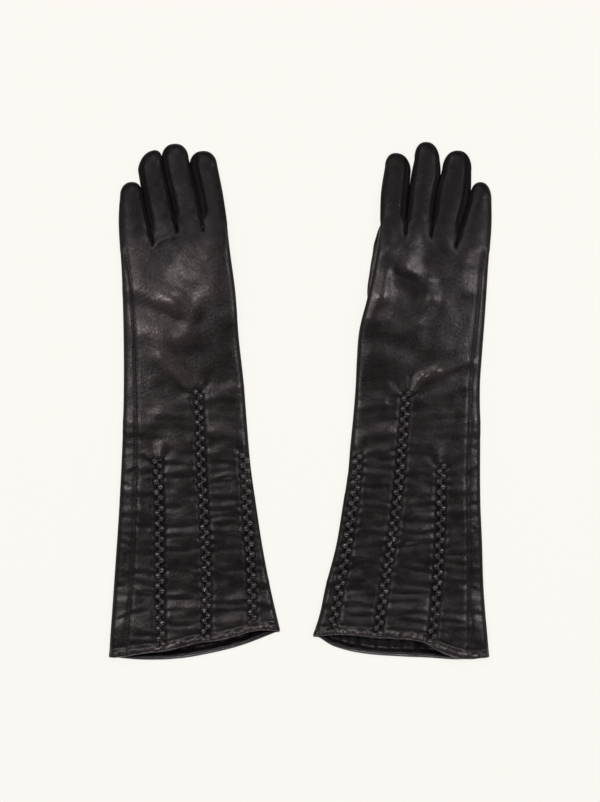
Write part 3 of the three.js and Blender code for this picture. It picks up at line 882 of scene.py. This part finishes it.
# ---- one glove ----
def build_glove(prefix):
    spec = GLOVES[prefix]
    layout = Layout(spec)
    side = layout.side

    # The leather's grids, before relief.
    roots, alongs = {}, {}
    for finger in FINGERS:
        roots[finger], alongs[finger] = finger_rows(spec, finger, layout)
    rings = glove_rings(layout, roots)
    grids = {"hand": rings, **roots}
    parts = {}
    for name, grid in grids.items():
        points = layout.place(grid[..., 0], grid[..., 1], grid[..., 2]).reshape(-1, 3)
        faces = turned(grid_faces(grid.shape[0], grid.shape[1]), side)
        parts[name] = (points, faces)
    names = list(parts)

    # Relief along the normals, then the normals of the carved leather.
    normals = smooth_normals([parts[name] for name in names])
    moves = {}
    for name, normal in zip(names, normals):
        points, faces = parts[name]
        if name == "hand":
            carved, moves[name] = carve_back(points, normal, layout)
        else:
            carved, moves[name] = carve_finger(
                points, normal, layout, grids[name], alongs[name], SEAM_COLUMNS[name])
        parts[name] = (carved, faces)
    normals = dict(zip(names, smooth_normals([parts[name] for name in names])))

    # Sleeve and hand in one piece, with the turned edge at the hem.
    points, faces = parts["hand"]
    columns = rings.shape[1]
    radii = roll_radii(columns, 4 * (BACK + 1), 4 * (PALM + 1))
    roll_points, roll_faces, inner_edge = hem_roll(
        points[:columns], points[columns:2 * columns], normals["hand"][:columns], radii)
    start = len(points)
    roll_faces = np.where(roll_faces < columns, roll_faces, roll_faces - columns + start)
    all_points = np.concatenate([points, roll_points])
    all_faces = np.concatenate([faces, turned(roll_faces, side)])
    final_normals = smooth_normals([(all_points, all_faces)] + [parts[f] for f in FINGERS])
    # The turned hem edge counts as fully proud, so it takes the lighter colour: a painted highlight along
    # the hem.
    move = np.concatenate([moves["hand"], np.full(len(roll_points), 1.6)])
    # Painted shade and dullness on the side folds, beside the rows and in the creases.
    dull_and_shaded = layout.dullness_and_shade(side * all_points[:, 0], all_points[:, 1])
    shades = shades_of(move, all_points, dull_and_shaded)
    skin = make_object(f"{prefix}_sleeve_and_hand", all_points, all_faces, LEATHER, final_normals[0], shades)
    for finger, normal in zip(FINGERS, final_normals[1:]):
        normals[finger] = normal
    bend_at_wrist(skin, side)
    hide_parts(f"{prefix}_sleeve_leather", f"{prefix}_hand_leather")

    add_inside(prefix, layout, rings, parts["hand"][0], normals["hand"], inner_edge, radii)
    add_rows(prefix, layout)
    add_outseam(prefix, layout)
    if prefix == "left":
        add_hem_stitches(prefix, layout)
    for finger in FINGERS:
        add_finger(prefix, finger, layout, spec, grids[finger],
                   parts[finger], normals[finger], moves[finger])
    add_thumb(prefix, layout, spec)


def bend_at_wrist(piece, side):
    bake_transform(piece)


def carve_finger(points, normals, layout, grid, along, seam_columns):
    """Relief on a finger: soft dents and a valley along each seam. Returns the points and their tone, the
    move with the seams made darker: dark seam lines, with painted shade in their valleys."""
    rows, columns = grid.shape[:2]
    u, y = layout.side * points[:, 0], points[:, 1]
    share = facing_up(normals)
    t = np.repeat(along, columns)
    settle = smoothstep(t, 0.0, 0.16)
    own = 0.16 * ripple(u, y, 19, 21) + 0.05 * ripple(0.4 * u, y, 6, 22)
    own = own * (1 - 0.6 * smoothstep(t, 1.0, 1.6))
    move = share * (layout.relief(u, y) * (1 - settle) + own * settle)
    column = np.tile(np.arange(columns), rows)
    tone = move
    for seam in seam_columns:
        away = np.abs((column - seam + columns // 2) % columns - columns // 2)
        shown = smoothstep(t, 0.0, 0.1) * (1 - smoothstep(t, 1.55, 1.9))
        move = move - 0.42 * shown * bell(away, 0.8)
        move = move + 0.1 * shown * bell(away - 2, 0.9)
        # Darker along each seam: a dark seam line, with painted shade in its valley.
        tone = tone - 1.3 * shown * bell(away, 0.7)
    return points + normals * move[:, None], tone


def hem_roll(edge, second, normals, radius):
    """The turned edge of the hem: rings that curl from the edge inwards and back up the sleeve."""
    down = edge - second
    down /= np.maximum(np.linalg.norm(down, axis=1, keepdims=True), 1e-9)
    rolls = []
    for angle in (30, 60, 90, 120, 150, 180):
        turn = math.radians(angle)
        rolls.append(edge + radius[:, None] * (down * math.sin(turn) - normals * (1 - math.cos(turn))))
    grid = grid_faces(len(rolls) + 1, len(edge))
    # The first ring is the edge itself; the faces run the other way, because the rings go down.
    return np.concatenate(rolls), grid[:, ::-1], rolls[-1]


def roll_radii(columns, backs, palms):
    """Radius of the turned edge round the hem, fuller on the palm and small at the two corners."""
    sides = SIDE - 1
    back = BACK_ROLL * np.ones(backs)
    palm = PALM_ROLL * np.ones(palms)
    corner = np.linspace(0, 1, sides + 2)[1:-1]
    radius = np.concatenate([back, BACK_ROLL + (PALM_ROLL - BACK_ROLL) * corner,
                             palm, PALM_ROLL + (BACK_ROLL - PALM_ROLL) * corner])
    centre = backs + sides / 2
    other = columns - sides / 2
    for middle in (centre, other):
        away = np.abs((np.arange(columns) - middle + columns / 2) % columns - columns / 2)
        radius *= 1 - 0.45 * bell(away, 9)
    return radius


def add_inside(prefix, layout, rings, outer, normals, inner_edge, radii):
    """The leather facing inside the hem, and the silk lining from there to the fingers."""
    side = layout.side
    shape = rings.shape
    outer, normals = outer.reshape(*shape), normals.reshape(*shape)
    run = np.arange(shape[0]) * ROW_STEP
    last = int(FACING_DEPTH / ROW_STEP)
    column = np.arange(shape[1])
    facing_rows = [inner_edge]
    gathers = []
    for i in range(1, last + 1):
        settle = smoothstep(run[i], 0.5, 5.5)
        gather = 0.6 * np.sin(column * 1.35 + 1.3 * np.sin(column * 0.31)) * smoothstep(run[i], 1, 4)
        gathers.append(-gather)
        depth = 2 * radii * (1 - settle) + 1.5 * settle + gather
        facing_rows.append(outer[i] - normals[i] * depth[:, None])
    facing = np.array(facing_rows)
    faces = turned(grid_faces(len(facing), shape[1]), -side)
    # The facing's gathers: lighter colour on their crests as painted highlight, painted shade between them.
    tone = np.concatenate([np.zeros(shape[1]), *[2.4 * g for g in gathers]])
    piece = make_object(f"{prefix}_hem_facing_leather", facing.reshape(-1, 3), faces, FACING_LEATHER,
                        shades=shades_of(tone, facing.reshape(-1, 3)))
    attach(piece, f"{prefix}_sleeve")
    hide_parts(f"{prefix}_hem_facing")
    lining_rows = []
    stop = shape[0] - int(8 / ROW_STEP)
    for i in range(last - 2, stop, 3):
        fade = math.exp(-(run[i] - run[last]) / 40)
        gather = 0.45 * np.sin(column * 1.9 + 1.5 * np.sin(column * 0.23)) * fade
        lining_rows.append(outer[i] - normals[i] * (1.75 + gather)[:, None])
    lining = np.array(lining_rows)
    faces = turned(grid_faces(len(lining), shape[1]), -side)
    piece = make_object(f"{prefix}_silk_lining", lining.reshape(-1, 3), faces, LINING)
    bend_at_wrist(piece, side)
    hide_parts(f"{prefix}_sleeve_lining", f"{prefix}_hand_lining")


def back_height(layout, u, y):
    """Height of the back of the sleeve at rest, relief included."""
    left, right = layout.index(y), layout.little(y)
    across = (u - (left + right) / 2) / ((right - left) / 2 - FOLD_RADIUS * 0.83)
    crown = 1 - 0.2 * np.abs(across).clip(0, 1) ** 8
    over = np.maximum(np.abs(u - (left + right) / 2) - ((right - left) / 2 - FOLD_RADIUS), 0) / FOLD_RADIUS
    round_off = np.sqrt((1 - over.clip(0, 0.98) ** 2))
    low = layout.bottom(u, y)
    return low + (layout.top(u, y) - low) * (0.5 + 0.5 * crown * round_off) + layout.relief(u, y)


def puff_radius(step, spacing, size):
    """Radius of the shirred cord at a share of the way from one puff to the next: two balls and a neck."""
    away = np.minimum(step, 1 - step) * spacing
    ball = np.sqrt(np.maximum((PUFF_RADIUS * size) ** 2 - away ** 2, 0))
    return (ball ** 5 + NECK_RADIUS ** 5) ** 0.2


def add_rows(prefix, layout):
    """Each shirred row: one soft cord of leather that swings from side to side in round puffs."""
    around, per_puff = 14, 12
    for i, (name, (path, top, low)) in enumerate(layout.rows.items()):
        puffs = int(round(2 * (top - low) / PUFF_PITCH))
        rng = np.random.default_rng(7 + i)
        numbers = np.arange(puffs + 1)
        sizes = 1 + 0.07 * rng.uniform(-1, 1, puffs + 1)
        sways = PUFF_SWAY * (-1.0) ** numbers * (1 + 0.12 * rng.uniform(-1, 1, puffs + 1))
        heights = top - numbers * (top - low) / puffs + 0.3 * rng.uniform(-1, 1, puffs + 1)
        k = np.linspace(0, puffs, puffs * per_puff + 1)
        y = np.interp(k, numbers, heights)
        u = path(y) + np.interp(k, numbers, sways)
        size = np.interp(k, numbers, sizes)
        spacing = math.hypot(PUFF_PITCH / 2, 2 * PUFF_SWAY)
        radius = puff_radius(k - np.floor(k), spacing, size)
        puffed = smoothstep(radius, NECK_RADIUS, PUFF_RADIUS)
        z = back_height(layout, u, y) + 1.25 + 0.3 * puffed
        centre = layout.place(u, y, z)
        tangent = np.gradient(centre, axis=0)
        tangent /= np.linalg.norm(tangent, axis=1, keepdims=True)
        across = np.cross(tangent, (0, 0, 1.0))
        across /= np.linalg.norm(across, axis=1, keepdims=True)
        up = np.cross(across, tangent)
        angle = 2 * math.pi * np.arange(around) / around
        ring = centre[:, None] + radius[:, None, None] * (
            np.cos(angle)[None, :, None] * across[:, None]
            + 0.85 * np.sin(angle)[None, :, None] * up[:, None])
        # Both ends close with a small dome.
        for end, inner in ((0, 1), (-1, -2)):
            out = centre[end] - centre[inner]
            out /= np.linalg.norm(out)
            dome = [centre[end] + out * radius[end] * math.sin(a) + (ring[end] - centre[end]) * math.cos(a)
                    for a in np.radians((30, 60, 88))]
            ring = np.concatenate([dome[::-1], ring]) if end == 0 else np.concatenate([ring, dome])
        # Painted light on the puffs: the lighter colour where they swell; painted shade on the necks between
        # them and on each puff's lower flanks, a dark outline round it.
        shade = np.repeat(np.concatenate([[0.5] * 3, puffed, [0.5] * 3]), around)
        flank = smoothstep(0.5 - np.tile(np.sin(angle), len(ring)), 0, 0.5)
        shades = {"proud": shade, "painted_shade": np.maximum(0.5 * (1 - shade), flank), "matt_and_shaded": 0 * shade}
        piece = make_object(f"{prefix}_{name}_shirring", ring.reshape(-1, 3), grid_faces(len(ring), around),
                            PUFF_LEATHER, shades=shades)
        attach(piece, f"{prefix}_sleeve")
        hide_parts(f"{prefix}_{name}_shirred_row")


def add_outseam(prefix, layout):
    """The outseam from the hem to the little finger: two narrow lips of leather and the stitches between."""
    y = np.arange(-213, 131, 1.0)
    u = layout.seam(y)
    ground = back_height(layout, u, y) + layout.groove(u, y)
    offsets = np.array([-2.3, -1.5, -0.95, -0.5, -0.12, 0.12, 0.45, 0.9, 1.6])
    heights = np.array([-0.4, -0.12, 0.07, 0.1, -0.4, -0.4, 0.04, -0.1, -0.4])
    fade = smoothstep(y, -213, -208) * (1 - smoothstep(y, 122, 130))
    strip_u = u[:, None] + offsets
    strip_y = np.repeat(y[:, None], len(offsets), axis=1)
    strip_z = back_height(layout, strip_u, strip_y) + layout.groove(strip_u, strip_y) - 0.1
    strip_z = strip_z + heights * fade[:, None] - 0.4 * (1 - fade[:, None])
    points = layout.place(strip_u, strip_y, strip_z).reshape(-1, 3)
    quads = turned(grid_faces(len(y), len(offsets), closed=False)[:, ::-1], layout.side)
    # Painted shade along the middle of the seam groove; the lips get a little of the lighter colour.
    deep = np.tile(bell(offsets, 0.5), len(y))
    shades = {"proud": 0.1 * (1 - deep), "painted_shade": deep, "matt_and_shaded": 0 * deep}
    lips = make_object(f"{prefix}_outseam_lips", points, quads, LEATHER, shades=shades)
    bend_at_wrist(lips, layout.side)
    line = layout.place(u, y, ground - 0.25)
    ups = np.tile([0, 0, 1.0], (len(line), 1))
    mesh_points, faces = stitches_along(line, ups, 0.3)
    piece = make_object(f"{prefix}_outseam_stitches", mesh_points, faces, THREAD)
    bend_at_wrist(piece, layout.side)
    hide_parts(f"{prefix}_sleeve_seam_thread", f"{prefix}_hand_seam_thread")


def add_hem_stitches(prefix, layout):
    """A short run of stitches that holds the turned hem down on the back."""
    u = np.arange(96, 140, 1.0)
    y = layout.back_hem(u) + 4.6
    line = layout.place(u, y, back_height(layout, u, y) + 0.15)
    ups = np.tile([0, 0, 1.0], (len(line), 1))
    points, faces = stitches_along(line, ups, 0.32, pitch=3.4, gap=0.45)
    piece = make_object(f"{prefix}_hem_stitches", points, faces, THREAD)
    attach(piece, f"{prefix}_sleeve")


def finger_ends(spec, finger, layout):
    """Where a finger's bend starts and ends, past the farther of its two roots."""
    shape = spec["fingers"][finger]
    inner, outer = np.array(shape["inner"][0], float), np.array(shape["outer"][0], float)
    tip = np.array(shape["tip"], float)
    base = (inner + outer) / 2
    along = (tip - base) / np.linalg.norm(tip - base)
    reach = max((inner - base) @ along, (outer - base) @ along) + 0.6
    height = (layout.bottom(base[0], base[1]) + FLAT_HEIGHT) * MM

    def spot(distance):
        return tuple(layout.place(*(base + along * distance) * MM, height))

    return spot(reach), spot(reach + FINGER_BEND)


def add_finger(prefix, finger, layout, spec, grid, part, normals, move):
    points, faces = part
    rows, columns = grid.shape[:2]
    start, end = finger_ends(spec, finger, layout)
    column = np.tile(np.arange(columns), rows - 1)
    outer_strip = (column >= BACK) & (column < BACK + SIDE)
    inner_strip = column >= BACK + SIDE + PALM
    strips = {"little_side": outer_strip, "index_side": inner_strip}
    if finger == "index":
        del strips["index_side"]
    if finger == "little":
        del strips["little_side"]
    rest = ~np.any(list(strips.values()), axis=0)
    used, renumbered, kept_normals, kept_move = used_part(points, faces[rest], normals, move)
    stall = make_object(f"{prefix}_{finger}_finger", used, renumbered, LEATHER, kept_normals,
                        shades_of(kept_move, used))
    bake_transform(stall)
    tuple(start)
    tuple(end)
    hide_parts(f"{prefix}_{finger}_stall")
    neighbours = {"little_side": 1, "index_side": -1}
    for strip, chosen in strips.items():
        other = FINGERS[FINGERS.index(finger) + neighbours[strip]]
        used, renumbered, kept_normals, kept_move = used_part(points, faces[chosen], normals, move)
        piece = make_object(f"{prefix}_{finger}_fourchette_{strip}", used, renumbered, SIDE_LEATHER,
                            kept_normals, shades_of(kept_move, used))
        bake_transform(piece)
        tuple(start)
        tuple(end)
        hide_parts(f"{prefix}_{finger}_fourchette_{other}_side")
    seam_points, seam_faces = [], []
    seams = {"little_side": BACK, "index_side": 0}
    for strip in strips:
        line = points.reshape(rows, columns, 3)[1:-4, seams[strip]]
        ups = normals.reshape(rows, columns, 3)[1:-4, seams[strip]]
        some, their = stitches_along(line + 0.1 * ups, ups, 0.26, pitch=2.1)
        offset = sum(len(p) for p in seam_points)
        seam_faces += [[v + offset for v in face] for face in their]
        seam_points.append(some)
    piece = make_object(f"{prefix}_{finger}_seam_stitches", np.concatenate(seam_points), seam_faces, THREAD)
    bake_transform(piece)
    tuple(start)
    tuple(end)


def add_thumb(prefix, layout, spec):
    """The folded thumb: a flattened stall under the palm, its root turned up into the hand."""
    thumb = spec["thumb"]
    knots = np.array(thumb["path"], float)
    buried = (knots[0][0] + 1, knots[0][1] - 17, 7.4)
    path = through([(i / len(knots), tuple(knot)) for i, knot in enumerate([buried, *knots])])
    around, steps = 40, 58
    angle = 2 * math.pi * np.arange(around) / around
    rings = []
    for i in range(steps + 1):
        t = i / steps
        u, y, z = path(min(t, 1))
        du, dy, _ = path(min(t + 0.02, 1)) - path(max(t - 0.02, 0))
        turn = math.hypot(du, dy)
        narrow = math.sqrt(max(1 - max((t - 0.78) / 0.22, 0) ** 2, 0.0004))
        swell = 0.6 + 0.58 * smoothstep(t, 0.0, 0.25) - 0.18 * smoothstep(t, 0.25, 0.6)
        width = thumb["half_width"] * (1.02 - 0.14 * t) * narrow * swell
        tall = 2.55 * (0.35 + 0.65 * narrow)
        across = width * np.sign(np.cos(angle)) * np.abs(np.cos(angle)) ** 0.85
        rise = tall * np.sign(np.sin(angle)) * np.abs(np.sin(angle)) ** 0.85
        centre_z = max(tall + 0.2, z)
        rings.append(np.stack([u + across * dy / turn, y - across * du / turn, centre_z + rise], -1))
    rings = np.array(rings)
    points = layout.place(rings[..., 0], rings[..., 1], rings[..., 2]).reshape(-1, 3)
    faces = turned(grid_faces(steps + 1, around), layout.side)
    normal = smooth_normals([(points, faces)])[0]
    ua, ya = points[:, 0], points[:, 1]
    points = points + normal * (0.12 * ripple(ua, ya, 12, 61) - 0.1)[:, None]
    shades = shades_of(0.4 * ripple(ua, ya, 15, 62), points)
    piece = make_object(f"{prefix}_thumb", points, faces, LEATHER, shades=shades)
    start, end = knots[0], knots[1]
    tuple(layout.place(*(start * MM)))
    tuple(layout.place(*(end * MM)))
    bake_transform(piece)
    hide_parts(f"{prefix}_thumb_stall")


add_camera()
add_surroundings()
build_glove("left")
build_glove("right")
